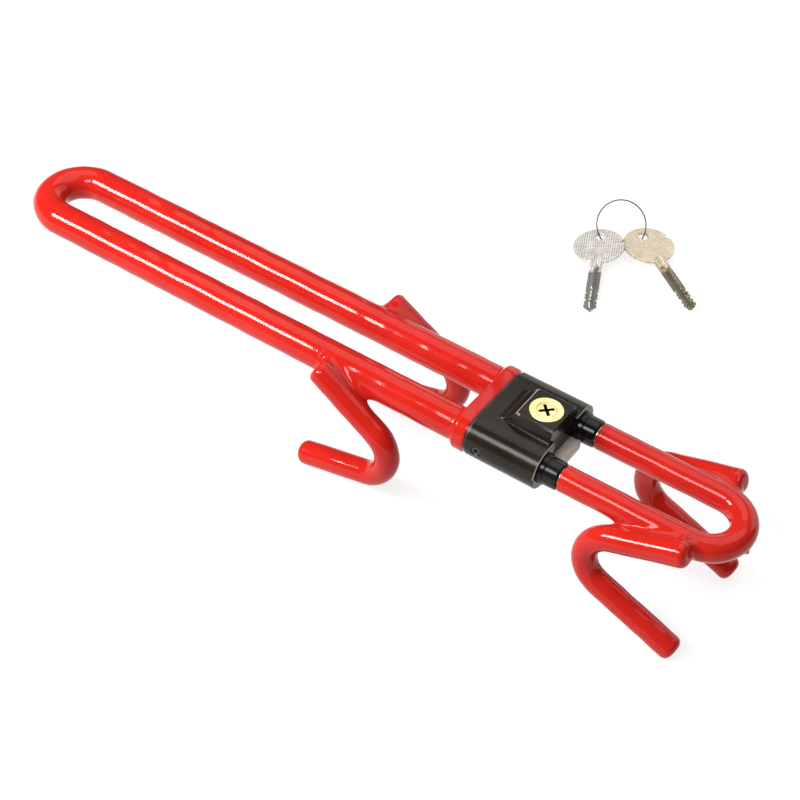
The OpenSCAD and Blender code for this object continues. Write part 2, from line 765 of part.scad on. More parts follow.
frame_tube();
end_plate();
rear_hook_left();
rear_hook_right();
rear_welds();
frame_coating();
rear_hook_coating_left();
rear_hook_coating_right();
hook_bar();
front_hook_left();
front_hook_right();
front_welds();
bar_coating();
front_hook_coating_left();
front_hook_coating_right();
stop_rings();
lock_block();
head_cover();
guide_bush_left();
guide_bush_right();
cover_screws();
lock_barrel();
barrel_pin();
lock_plug();
key_pins();
driver_pins();
pin_springs();
cam_plate();
cam_screw();
lock_bolt_left();
lock_bolt_right();
bolt_plate();
bolt_plate_screws();
key_ring();
key_left();
key_right();
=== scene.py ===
import math

import bmesh
import bpy
import numpy as np
from mathutils import Matrix, Vector


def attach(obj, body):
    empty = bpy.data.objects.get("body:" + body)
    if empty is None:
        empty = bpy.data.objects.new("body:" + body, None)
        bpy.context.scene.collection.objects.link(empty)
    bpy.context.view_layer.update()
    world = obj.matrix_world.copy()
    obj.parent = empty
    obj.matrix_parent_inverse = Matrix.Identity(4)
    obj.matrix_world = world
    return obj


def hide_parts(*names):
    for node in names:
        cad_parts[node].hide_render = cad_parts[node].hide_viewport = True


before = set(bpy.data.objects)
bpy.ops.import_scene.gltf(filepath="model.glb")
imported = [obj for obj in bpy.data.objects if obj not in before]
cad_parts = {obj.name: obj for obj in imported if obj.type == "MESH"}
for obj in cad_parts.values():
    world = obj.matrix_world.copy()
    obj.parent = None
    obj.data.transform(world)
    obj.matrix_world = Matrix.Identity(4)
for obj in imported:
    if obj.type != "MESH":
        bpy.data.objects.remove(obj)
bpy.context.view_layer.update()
mm = 0.001
print("frame loaded:", len(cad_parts), "nodes")


def angles(count):  # a full turn, without its last point
    return np.linspace(0, 2 * np.pi, count, endpoint=False)


def stations(*runs):
    # Runs of (from, to, step) joined end to end, each evenly divided.
    parts = [np.linspace(a, b, max(2, int(abs(b - a) / step) + 1))[:-1] for a, b, step in runs]
    return np.append(np.concatenate(parts), runs[-1][1])


def addPiece(name, patches, body, nodes, material, sharp=None):
    # Each patch is a grid of points in millimetres, with an optional uv grid, a mask of quads to keep,
    # and loop=True where its last column joins the first. Doubles are merged and faces turned outwards.
    points, quads, uvs, first = [], [], [], 0
    for patch in patches:
        grid = patch["at"]
        rows, cols = grid.shape[:2]
        index = first + np.arange(rows * cols).reshape(rows, cols)
        if patch.get("loop"):
            index = np.concatenate([index, index[:, :1]], 1)
        quad = np.stack([index[:-1, :-1], index[:-1, 1:], index[1:, 1:], index[1:, :-1]], -1)
        quads.append(quad[patch["keep"]] if "keep" in patch else quad.reshape(-1, 4))
        points.append(grid.reshape(-1, 3))
        uvs.append(patch.get("uv", np.zeros((rows, cols, 2))).reshape(-1, 2))
        first += rows * cols
    points, quads, uvs = np.concatenate(points) * mm, np.concatenate(quads), np.concatenate(uvs)
    mesh = bpy.data.meshes.new(name)
    mesh.vertices.add(len(points))
    mesh.vertices.foreach_set("co", points.ravel())
    mesh.loops.add(quads.size)
    mesh.loops.foreach_set("vertex_index", quads.ravel().astype(np.int32))
    mesh.polygons.add(len(quads))
    mesh.polygons.foreach_set("loop_start", np.arange(0, quads.size, 4, dtype=np.int32))
    mesh.update(calc_edges=True)
    layer = mesh.uv_layers.new(name="flat")
    layer.data.foreach_set("uv", uvs[quads.ravel()].ravel())
    work = bmesh.new()
    work.from_mesh(mesh)
    bmesh.ops.remove_doubles(work, verts=work.verts, dist=2e-6)
    bmesh.ops.dissolve_degenerate(work, edges=work.edges, dist=1e-7)
    bmesh.ops.recalc_face_normals(work, faces=work.faces)
    work.to_mesh(mesh)
    work.free()
    mesh.polygons.foreach_set("use_smooth", np.ones(len(mesh.polygons), dtype=bool))
    if sharp:
        mesh.set_sharp_from_angle(angle=math.radians(sharp))
    piece = bpy.data.objects.new(name, mesh)
    bpy.context.scene.collection.objects.link(piece)
    mesh.materials.append(material)
    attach(piece, body)
    if nodes:
        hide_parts(*nodes)
    return piece


def lathe(profile, count, centre=(0, 0, 0), axis="z"):
    # A profile of (radius, height) pairs carried round an axis through centre.
    profile = np.array(profile, float)
    a = angles(count)
    r, h = profile[:, :1], profile[:, 1:]
    across, up = r * np.cos(a), r * np.sin(a)
    h = np.broadcast_to(h, across.shape)
    order = (across, up, h) if axis == "z" else (h, across, up)
    return {"at": np.stack(order, -1) + np.array(centre), "loop": True}


def rotation(yaw, lean, slope):
    # Slope about Y, then lean about X, then yaw about Z.
    turns = Matrix.Rotation(math.radians(yaw), 3, "Z") @ Matrix.Rotation(math.radians(lean), 3, "X")
    return np.array(turns @ Matrix.Rotation(math.radians(slope), 3, "Y"))



def newMaterial(name):
    material = bpy.data.materials.new(name)
    material.use_nodes = True
    nodes, links = material.node_tree.nodes, material.node_tree.links
    shader = nodes["Principled BSDF"]
    place = nodes.new("ShaderNodeTexCoord")

    def add(kind, inputs=(), **settings):
        node = nodes.new(kind)
        for key, value in settings.items():
            setattr(node, key, value)
        for key, value in dict(inputs).items():
            if isinstance(value, bpy.types.NodeSocket):
                links.new(value, node.inputs[key])
            else:
                node.inputs[key].default_value = value
        return node

    return material, shader, place, add, links


def ramp(add, source, stops):
    node = add("ShaderNodeValToRGB", {"Fac": source})
    while len(node.color_ramp.elements) < len(stops):
        node.color_ramp.elements.new(0.5)
    for element, (at, colour) in zip(node.color_ramp.elements, stops):
        element.position = at
        element.color = (*colour, 1)
    return node.outputs["Color"]


def spread(add, source, low, high):
    return add("ShaderNodeMapRange", {"Value": source, "To Min": low, "To Max": high}).outputs["Result"]


def bump(add, links, shader, height, strength, distance, below=None):
    node = add("ShaderNodeBump", {"Strength": strength, "Distance": distance, "Height": height})
    if below is not None:
        links.new(below, node.inputs["Normal"])
    links.new(node.outputs["Normal"], shader.inputs["Normal"])
    return node.outputs["Normal"]


def makeVinyl():
    look = {"deep": (0.33, 0.008, 0.005), "bright": (0.40, 0.013, 0.008), "ripple": 26, "fine": 420}
    material, shader, place, add, links = newMaterial("redVinyl")
    at = place.outputs["Object"]
    slow = add("ShaderNodeTexNoise", {"Vector": at, "Scale": look["ripple"], "Detail": 3.0})
    fine = add("ShaderNodeTexNoise", {"Vector": at, "Scale": look["fine"], "Detail": 4.0})
    links.new(ramp(add, slow.outputs["Fac"], [(0.3, look["deep"]), (0.7, look["bright"])]),
        shader.inputs["Base Color"])
    links.new(spread(add, fine.outputs["Fac"], 0.06, 0.11), shader.inputs["Roughness"])
    shader.inputs["IOR"].default_value = 1.3
    low = bump(add, links, shader, slow.outputs["Fac"], 0.12, 0.0004)
    bump(add, links, shader, fine.outputs["Fac"], 0.015, 0.0001, low)
    return material


def makeBlack(name, colour, rough, grain, glintColour=(0.45, 0.43, 0.39)):
    # Moulded black with a fine grain; the UV map's first value says how strongly a thin light line is
    # painted on an edge: a painted highlight.
    material, shader, place, add, links = newMaterial(name)
    at = place.outputs["Object"]
    skin = add("ShaderNodeTexNoise", {"Vector": at, "Scale": grain, "Detail": 5.0})
    patch = add("ShaderNodeTexNoise", {"Vector": at, "Scale": 45.0, "Detail": 4.0})
    warm = tuple(c * 1.7 for c in colour)
    # painted highlight along edges, made patchy by noise
    paintedGlint = add("ShaderNodeSeparateXYZ", {"Vector": place.outputs["UV"]}).outputs["X"]
    glintNoise = add("ShaderNodeTexNoise", {"Vector": at, "Scale": 210.0, "Detail": 3.0})
    patchy = spread(add, glintNoise.outputs["Fac"], 0.35, 1.25)
    amount = add("ShaderNodeMath", {0: paintedGlint, 1: patchy}, operation="MULTIPLY")
    plain = ramp(add, patch.outputs["Fac"], [(0.35, colour), (0.75, warm)])
    mixed = add("ShaderNodeMix", {"Factor": amount.outputs["Value"], "A": plain}, data_type="RGBA")
    mixed.inputs[7].default_value = (*glintColour, 1)
    links.new(mixed.outputs[2], shader.inputs["Base Color"])
    links.new(spread(add, patch.outputs["Fac"], rough - 0.05, rough + 0.06), shader.inputs["Roughness"])
    shader.inputs["IOR"].default_value = 1.3
    bump(add, links, shader, skin.outputs["Fac"], 0.2, 0.0001)
    return material


def makeMetal(name, dark, light, rough, scale, strength, stretch=(1, 1, 1), metallic=1.0):
    # Long noise for drawn or ground marks, with a slow noise for stains and polish.
    material, shader, place, add, links = newMaterial(name)
    moved = add("ShaderNodeMapping", {"Vector": place.outputs["Object"], "Scale": stretch})
    marks = add("ShaderNodeTexNoise", {"Vector": moved.outputs["Vector"], "Scale": scale, "Detail": 6.0})
    stain = add("ShaderNodeTexNoise", {"Vector": place.outputs["Object"], "Scale": 70.0, "Detail": 4.0})
    links.new(ramp(add, stain.outputs["Fac"], [(0.3, dark), (0.7, light)]), shader.inputs["Base Color"])
    links.new(spread(add, marks.outputs["Fac"], rough * 0.7, rough * 1.4), shader.inputs["Roughness"])
    shader.inputs["Metallic"].default_value = metallic
    bump(add, links, shader, marks.outputs["Fac"], strength, 0.0001)
    return material


def makeBrass():
    # Turned face: rings round the keyway, so the height is the sine of the distance from the axis.
    material, shader, place, add, links = newMaterial("brassFace")
    flat = add("ShaderNodeMapping", {"Vector": place.outputs["Object"], "Scale": (1, 1, 0)})
    far = add("ShaderNodeVectorMath", {"Vector": flat.outputs["Vector"]}, operation="LENGTH")
    turns = add("ShaderNodeMath", {0: far.outputs["Value"], 1: 15000.0}, operation="MULTIPLY")
    rings = add("ShaderNodeMath", {0: turns.outputs["Value"]}, operation="SINE")
    stain = add("ShaderNodeTexNoise", {"Vector": place.outputs["Object"], "Scale": 260.0, "Detail": 5.0})
    tone = ramp(add, stain.outputs["Fac"], [(0.3, (0.78, 0.58, 0.25)), (0.7, (0.90, 0.73, 0.38))])
    # 1 inside the keyway, where the colour is scaled down to a twentieth: painted shade in the hole
    deep = add("ShaderNodeSeparateXYZ", {"Vector": place.outputs["UV"]}).outputs["X"]
    light = spread(add, deep, 1.0, 0.05)
    links.new(add("ShaderNodeVectorMath", {0: tone, "Scale": light}, operation="SCALE").outputs["Vector"],
        shader.inputs["Base Color"])
    links.new(spread(add, stain.outputs["Fac"], 0.26, 0.42), shader.inputs["Roughness"])
    shader.inputs["Metallic"].default_value = 0.7
    bump(add, links, shader, rings.outputs["Value"], 0.12, 0.00006)
    return material


def makeKeyMetal(name, dark, light, hatch):
    # Stamped squares: the product of two sines along the key's own flat axes, left blank in an oval window.
    material, shader, place, add, links = newMaterial(name)
    split = add("ShaderNodeSeparateXYZ", {"Vector": place.outputs["UV"]})
    along, across = split.outputs["X"], split.outputs["Y"]

    def sine(value, k):
        turns = add("ShaderNodeMath", {0: value, 1: k}, operation="MULTIPLY")
        return add("ShaderNodeMath", {0: turns.outputs["Value"]}, operation="SINE").outputs["Value"]

    squares = add("ShaderNodeMath", {0: sine(along, hatch), 1: sine(across, hatch)}, operation="MAXIMUM")
    shifted = add("ShaderNodeVectorMath", {0: place.outputs["UV"], 1: (14.0, 0.0, 0.0)},
        operation="SUBTRACT")
    squash = add("ShaderNodeVectorMath", {0: shifted.outputs["Vector"], 1: (1 / 3.0, 1 / 9.0, 0.0)},
        operation="MULTIPLY")
    oval = add("ShaderNodeVectorMath", {0: squash.outputs["Vector"]}, operation="LENGTH")
    outside = add("ShaderNodeMapRange",
        {"Value": oval.outputs["Value"], "From Min": 0.93, "From Max": 1.05})
    relief = add("ShaderNodeMath", {0: squares.outputs["Value"], 1: outside.outputs["Result"]},
        operation="MULTIPLY")
    stain = add("ShaderNodeTexNoise", {"Vector": place.outputs["Object"], "Scale": 180.0, "Detail": 5.0})
    tone = ramp(add, stain.outputs["Fac"], [(0.3, dark), (0.7, light)])
    printed = add("ShaderNodeMapRange",
        {"Value": relief.outputs["Value"], "From Min": -0.2, "From Max": 0.9, "To Min": 1.0,
        "To Max": 0.62})
    # the blade's colour is cut to about a third of the head's: painted shade on the blade
    bladeShade = add("ShaderNodeMapRange",
        {"Value": along, "From Min": 35.0, "From Max": 37.0, "To Min": 1.0, "To Max": 0.34})
    shade = add("ShaderNodeMath", {0: printed.outputs["Result"], 1: bladeShade.outputs["Result"]},
        operation="MULTIPLY")
    links.new(add("ShaderNodeVectorMath", {0: tone, "Scale": shade.outputs["Value"]},
        operation="SCALE").outputs["Vector"], shader.inputs["Base Color"])
    links.new(spread(add, stain.outputs["Fac"], 0.18, 0.3), shader.inputs["Roughness"])
    shader.inputs["Metallic"].default_value = 0.6
    bump(add, links, shader, relief.outputs["Value"], 0.5, 0.00012)
    return material


redVinyl = makeVinyl()
blackCover = makeBlack("blackCover", (0.0075, 0.0053, 0.0028), 0.18, 1400.0)
# the web's grey is raised to the lit plate's brightness to make up for the pad's shade over it: partly
# painted light
greyWeb = makeBlack("greyWeb", (0.34, 0.29, 0.25), 0.4, 900.0)
blackBush = makeBlack("blackBush", (0.004, 0.004, 0.004), 0.16, 1100.0)
darkSteel = makeMetal("darkSteel", (0.03, 0.03, 0.032), (0.07, 0.07, 0.072), 0.4, 900.0, 0.2, metallic=0.7)
drawnSteel = makeMetal("drawnSteel", (0.42, 0.42, 0.43), (0.62, 0.61, 0.60), 0.28, 1500.0, 0.15,
    (0.05, 1, 1))
springSteel = makeMetal("springSteel", (0.40, 0.40, 0.42), (0.56, 0.56, 0.58), 0.25, 2500.0, 0.1)
brassFace = makeBrass()
brassPart = makeMetal("brassPart", (0.62, 0.46, 0.20), (0.80, 0.64, 0.34), 0.3, 1800.0, 0.15)
nickelBright = makeKeyMetal("nickelBright", (0.72, 0.66, 0.60), (0.88, 0.84, 0.78), 4.2)
nickelWarm = makeKeyMetal("nickelWarm", (0.60, 0.50, 0.36), (0.76, 0.66, 0.50), 4.2)
ringSteel = makeMetal("ringSteel", (0.05, 0.045, 0.04), (0.13, 0.12, 0.11), 0.3, 1500.0, 0.1)
print("materials made")

skinSizes = {
    "axisZ": 12.5, "legY": 20.0,
    "frameR": 10.0, "frameBendX": -324.5, "plateRear": -39.0, "plateFront": -29.5, "plateR": 12.8,
    "plateEdge": 1.6,
    "barR": 7.7, "barStartX": 24.7, "barBendX": 100.0,
    "hookR": 7.2, "endRound": 4.0,     # rounding of the hooks' flat ends
    "rearBlend": 6.0, "frontBlend": 4.6, "plateBlend": 3.0,     # how wide the skin bridges each joint
    "ripple": 0.045,    # unevenness of the dipped skin
}
rearHook = {
    "root": (-123.7, 36.064, 17.257), "turns": rotation(1.2, -0.3, 30.6), "flip": 1,
    "shank": 47.0, "bend": 18.8, "turn": math.radians(135), "tip": 45.2, "back": 1.2,
}
frontHook = {
    "root": (104.7, 32.188, 16.662), "turns": rotation(1.2, 2.4, 19), "flip": -1,
    "shank": 43.5, "bend": 18.6, "turn": math.radians(138.4), "tip": 53.7, "back": 1.2,
}


def blendMin(a, b, width):
    # The smaller of two distances, with their edge filled by a parabola of the given width.
    h = np.maximum(width - np.abs(a - b), 0) / width
    return np.minimum(a, b) - h * h * width / 4


def blendMax(a, b, width):
    return -blendMin(-a, -b, width)


def roundMax(a, b, radius):
    # The larger of two distances, with a true quarter circle on their edge.
    a, b = a + radius, b + radius
    return np.hypot(np.maximum(a, 0), np.maximum(b, 0)) + np.minimum(np.maximum(a, b), 0) - radius


def hairpinDistance(p, bendX, way):
    # Distance from the centre line of two legs and a half circle between them.
    past = (p[..., 0] - bendX) * way
    y = np.abs(p[..., 1])
    flat = np.where(past > 0, np.hypot(past, y), y) - skinSizes["legY"]
    return np.hypot(flat, p[..., 2] - skinSizes["axisZ"])


def toHook(p, hook, side):
    # From the shared frame to the hook's own: root at the origin, shank along +X, bend towards -Z.
    q = p * np.array([1, side, 1]) - np.array(hook["root"])
    return (q * np.array([hook["flip"], 1, 1])) @ hook["turns"]


def fromHook(q, hook, side, isVector=False):
    p = (q @ hook["turns"].T) * np.array([hook["flip"], 1, 1])
    return (p if isVector else p + np.array(hook["root"])) * np.array([1, side, 1])


def hookDistance(p, hook, side):
    # Distance from a bar that runs straight, round an arc, and straight again; its ends are cut flat and
    # rounded.
    q = toHook(p, hook, side)
    x, y, z = q[..., 0], q[..., 1], q[..., 2]
    bend, turn = hook["bend"], hook["turn"]
    relX, relZ = x - hook["shank"], z + bend
    swing = np.arctan2(relX, relZ)
    swing = np.where(swing < -2.2, swing + 2 * np.pi, swing)
    onArc = (swing >= 0) & (swing <= turn)
    arc = np.where(onArc, np.hypot(np.hypot(relX, relZ) - bend, y), 1e3)
    shank = np.sqrt(np.maximum(relX, 0) ** 2 + y * y + z * z)
    d = np.array([math.cos(turn), -math.sin(turn)])
    ex, ez = hook["shank"] + bend * math.sin(turn), bend * (math.cos(turn) - 1)
    along = (x - ex) * d[0] + (z - ez) * d[1]
    over = (x - ex) * -d[1] + (z - ez) * d[0]
    tip = np.sqrt(np.minimum(along, 0) ** 2 + over * over + y * y)
    tipBar = roundMax(tip - skinSizes["hookR"], along - hook["tip"], skinSizes["endRound"])
    shankBar = roundMax(shank - skinSizes["hookR"], -x - hook["back"], skinSizes["endRound"])
    return np.minimum(np.minimum(shankBar, tipBar), arc - skinSizes["hookR"])


def plateDistance(p):
    # A bar with round sides, cut to a slab, with rounded edges.
    outline = np.hypot(np.maximum(np.abs(p[..., 1]) - skinSizes["legY"], 0),
        p[..., 2] - skinSizes["axisZ"]) - skinSizes["plateR"]
    mid, half = (skinSizes["plateRear"] + skinSizes["plateFront"]) / 2, (skinSizes["plateFront"]
        - skinSizes["plateRear"]) / 2
    slab = np.abs(p[..., 0] - mid) - half
    return roundMax(outline, slab, skinSizes["plateEdge"])


def ripple(p):
    # A few long waves, so the dipped skin is never quite even.
    x, y, z = p[..., 0], p[..., 1], p[..., 2]
    waves = np.sin(0.21 * x + 0.13 * y + 1.1) + np.sin(-0.16 * x + 0.3 * z + 0.4) + np.sin(0.37 * x + 0.29
        * y - 0.33 * z)
    return skinSizes["ripple"] * waves


def dropDistance(p, drops):
    # Small round lumps: (x, y, z, radius).
    return np.min([np.sqrt(((p - np.array(d[:3])) ** 2).sum(-1)) - d[3] for d in drops], 0)


def frameTubeBase(p):
    d = hairpinDistance(p, skinSizes["frameBendX"], -1)
    return np.hypot(d, np.maximum(p[..., 0] + 35.5, 0)) - skinSizes["frameR"]


def barBase(p):
    d = hairpinDistance(p, skinSizes["barBendX"], 1) - skinSizes["barR"]
    return blendMax(d, skinSizes["barStartX"] - p[..., 0], 1.2)


skinDrops = {
    "front": [(98.8, -24.6, 19.2, 1.8), (102.4, -27.0, 17.8, 1.5), (126.0, -3.0, 8.0, 1.6)],
    "rear": [(-128.2, -26.6, 19.2, 1.8), (-124.4, -29.0, 22.0, 1.6)],
}


def frameField(p):
    d = blendMin(frameTubeBase(p), plateDistance(p), skinSizes["plateBlend"])
    for side in (1, -1):
        d = blendMin(d, hookDistance(p, rearHook, side), skinSizes["rearBlend"])
    return blendMin(d, dropDistance(p, skinDrops["rear"]), 1.6) + ripple(p)


def barField(p):
    d = barBase(p)
    for side in (1, -1):
        d = blendMin(d, hookDistance(p, frontHook, side), skinSizes["frontBlend"])
    return blendMin(d, dropDistance(p, skinDrops["front"]), 1.6) + ripple(p)


def settle(start, way, field, own, others, reach=6.0):
    # Walks every point along its own direction until the field there is nothing. Where another
    # part of the skin is the nearer one, the point then sinks a little, so the two cross cleanly.
    t = np.zeros(start.shape[:-1])
    for _ in range(16):
        t = np.clip(t - field(start + way * t[..., None]), -4.0, reach)
    p = start + way * t[..., None]
    gap = own(p) - np.min([other(p) for other in others], 0)
    return p - way * np.clip(0.3 * gap, 0, 0.8)[..., None]


def fieldNormals(piece, field):
    # Shading normals from the field's slope, by central differences.
    mesh = piece.data
    co = np.empty(len(mesh.vertices) * 3)
    mesh.vertices.foreach_get("co", co)
    p = co.reshape(-1, 3) / mm
    slope = np.stack([field(p + step) - field(p - step) for step in np.eye(3) * 0.12], -1)
    slope /= np.linalg.norm(slope, axis=-1, keepdims=True)
    mesh.normals_split_custom_set_from_vertices(slope.tolist())


def tubeGrid(centre, tangent, up, radius, count, field, own, others, capStart, capEnd):
    # Rings round a path; at a capped end the rings' directions swing from square to the path to along it.
    side = np.cross(tangent, up)
    a = angles(count)[None, :, None]
    spoke = np.cos(a) * up[:, None, :] + np.sin(a) * side[:, None, :]
    start = centre[:, None, :] + spoke * (radius - 1.0)
    rows, ways = [start], [spoke]
    swing = np.radians(np.concatenate([np.linspace(8, 38, 6), np.linspace(42, 56, 9),
        np.linspace(60, 88, 9)]))[:, None, None]
    for cap, end, sign in ((capStart, 0, -1), (capEnd, -1, 1)):
        if not cap:
            continue
        way = np.cos(swing) * spoke[end][None] + np.sin(swing) * sign * tangent[end]
        base = np.broadcast_to(centre[end] - sign * tangent[end] * cap, way.shape)
        grid = base + way * 2.0
        pole = np.broadcast_to(centre[end] + sign * tangent[end] * 0.5, (1, count, 3))
        poleWay = np.broadcast_to(sign * tangent[end], (1, count, 3))
        if sign < 0:
            rows.insert(0, np.concatenate([pole, grid[::-1]]))
            ways.insert(0, np.concatenate([poleWay, way[::-1]]))
        else:
            rows.append(np.concatenate([grid, pole]))
            ways.append(np.concatenate([way, poleWay]))
    start, way = np.concatenate(rows), np.concatenate(ways)
    return {"at": settle(start, way, field, own, others), "loop": True}


def hookGrid(hook, side, field, others, count=84):
    # The hook's centre line at even steps, from inside its root to inside its tip.
    turn, bend, shank = hook["turn"], hook["bend"], hook["shank"]
    inset = 6.0
    length = shank + bend * turn + hook["tip"]
    s = stations((-hook["back"] + inset, shank, 0.75), (shank, shank + bend * turn, 0.9),
        (shank + bend * turn, length - inset, 1.1))
    swing = np.clip((s - shank) / bend, 0, turn)
    past = np.maximum(s - shank - bend * turn, 0)
    x = np.minimum(s, shank) + bend * np.sin(swing) + past * math.cos(turn)
    z = bend * (np.cos(swing) - 1) - past * math.sin(turn)
    zero = np.zeros_like(s)
    centre = fromHook(np.stack([x, zero, z], -1), hook, side)
    tangent = fromHook(np.stack([np.cos(swing), zero, -np.sin(swing)], -1), hook, side, True)
    up = fromHook(np.stack([np.sin(swing), zero, np.cos(swing)], -1), hook, side, True)
    own = lambda p: hookDistance(p, hook, side)
    return tubeGrid(centre, tangent, up, skinSizes["hookR"], count, field, own, others, 0.001, 0.001)


def hairpinGrid(bendX, way, fine, radius, count, field, own, others, capped):
    # Both legs and the bend between them, with closer rings in the stretches named in fine.
    legs = stations(*fine)
    turn = np.linspace(-np.pi / 2, np.pi / 2, 64)[1:-1]
    y, z = skinSizes["legY"], skinSizes["axisZ"]
    leg = np.stack([legs, np.full_like(legs, y), np.full_like(legs, z)], -1)
    arc = np.stack([bendX + way * y * np.cos(turn), -y * np.sin(turn), np.full_like(turn, z)], -1)
    legWay = np.tile([float(way), 0, 0], (len(legs), 1))
    arcWay = np.stack([-way * -np.sin(-turn), -np.cos(turn), np.zeros_like(turn)], -1)
    centre = np.concatenate([leg, arc, (leg * [1, -1, 1])[::-1]])
    tangent = np.concatenate([legWay, arcWay, -legWay])
    up = np.tile([0.0, 0, 1], (len(centre), 1))
    grid = tubeGrid(centre, tangent, up, radius, count, field, own, others, capped, capped)
    if not capped:      # the ends lie inside the plate and close on their centres
        at = grid["at"]
        first = np.broadcast_to(centre[:1, None], (1, *at.shape[1:]))
        last = np.broadcast_to(centre[-1:, None], (1, *at.shape[1:]))
        grid["at"] = np.concatenate([first, at, last])
    return grid


def plateGrid(field, others):
    # Rows run from the middle line of the rear face out to the rim and back along the front face.
    r = skinSizes["plateR"]
    a = np.linspace(0, np.pi, 50)
    flat = np.linspace(-20, 20, 56)[1:-1]
    core = np.concatenate([np.full(50, 20.0), -flat, np.full(50, -20.0), flat])
    dirY = np.concatenate([np.sin(a), 0 * flat, -np.sin(a), 0 * flat])
    dirZ = np.concatenate([-np.cos(a), 0 * flat + 1, np.cos(a), 0 * flat - 1])
    spoke = np.stack([0 * core, dirY, dirZ], -1)
    middle = np.stack([0 * core - 36, core, 0 * core + 12.5], -1)
    rows, ways = [], []
    for reach in np.concatenate([[0.0], np.linspace(4, r - 1.8, 15)]):
        rows.append(middle + spoke * reach)
        ways.append(np.broadcast_to([-1.0, 0, 0], middle.shape))
    for swing in np.radians(np.concatenate([np.linspace(-75, -15, 12), np.linspace(0, 75, 10)])):
        rows.append(middle + spoke * (r - 3))
        ways.append(spoke * math.cos(swing) + np.array([math.sin(swing), 0, 0]))
    for reach in (r - 1.8, r / 2, 0.0):
        rows.append(middle + spoke * reach)
        ways.append(np.broadcast_to([1.0, 0, 0], middle.shape))
    return {"at": settle(np.array(rows), np.array(ways), field, plateDistance, others, 4.5), "loop": True}


rearSides = [lambda p, s=s: hookDistance(p, rearHook, s) for s in (1, -1)]
frontSides = [lambda p, s=s: hookDistance(p, frontHook, s) for s in (1, -1)]
frameRuns = [(-36, -60, 0.8), (-60, -78, 1.6), (-78, -150, 0.8), (-150, -324.5, 3.0)]
tube = hairpinGrid(skinSizes["frameBendX"], -1, frameRuns, skinSizes["frameR"], 96, frameField,
    frameTubeBase,
                   [plateDistance, *rearSides], 0)
plate = plateGrid(frameField, [frameTubeBase])
piece = addPiece("frameSkin", [tube, plate], "lock_frame", ["frame_coating", "rear_welds"],
    redVinyl)
fieldNormals(piece, frameField)
for side, word in ((1, "left"), (-1, "right")):
    grid = hookGrid(rearHook, side, frameField, [frameTubeBase])
    piece = addPiece("rearHookSkin_" + word, [grid], "lock_frame", ["rear_hook_coating_" + word],
        redVinyl)
    fieldNormals(piece, frameField)
barRuns = [(28, 34, 0.8), (34, 48, 1.2), (48, 100, 0.8)]
bar = hairpinGrid(skinSizes["barBendX"], 1, barRuns, skinSizes["barR"], 96, barField, barBase, frontSides,
    0.001)
piece = addPiece("barSkin", [bar], "hook_bar", ["bar_coating", "front_welds"], redVinyl)
fieldNormals(piece, barField)
for side, word in ((1, "left"), (-1, "right")):
    grid = hookGrid(frontHook, side, barField, [barBase])
    piece = addPiece("frontHookSkin_" + word, [grid], "hook_bar", ["front_hook_coating_" + word],
        redVinyl)
    fieldNormals(piece, barField)
print("skins settled")

coverSizes = {
    "r": 12.5, "rear": -29.5, "front": 13.5, "midFront": 11.4, "midHalf": 11.4,
    "padTop": 20.0, "padHalfX": 11.4, "padHalfY": 12.0, "padFootRear": -20.5, "edge": 0.7, "corner": 2.4,
    "wellR": 9.6, "wellKeep": 8.8, "bushKeep": 7.6, "cavityR": 10.5, "cavityFront": 9.1, "screwX": -22.5,
    "screwR": 2.5, "foot": 3.2,
}


def padHeight(x, y):
    # The lowest of a flat top, two steep sides, a long slope to the rear and a steep front. Near the top
    # the
    # sides and the rear slope meet in a rounded corner: their reaches past the corner's centre add as
    # squares.
    c = coverSizes
    ay = np.abs(y)
    run = 13.5 + (x - c["padFootRear"]) * 2.5 / 31.9 - c["padHalfY"]
    side = 20 - (ay - c["padHalfY"]) * 9.5 / run
    rear = 20 + (x + c["padHalfX"]) * 9.5 / 9.1
    pastY, pastX = np.maximum(ay - c["padHalfY"] + c["corner"],
        0), np.maximum(-x - c["padHalfX"] + c["corner"], 0)
    turned = 20 - (np.hypot(pastX, pastY) - c["corner"]) * 9.5 / np.where(pastY > pastX, run, 9.1)
    top = np.clip((turned - 17.5) / 2.5, 0, 1)
    edge = np.minimum(side, rear)
    edge = edge + top * (np.minimum(turned, edge) - edge)
    front = 20 - (x - c["padHalfX"] + 0.15) * 60
    return blendMin(np.minimum(edge, front), np.full_like(x, 20.0), c["edge"])


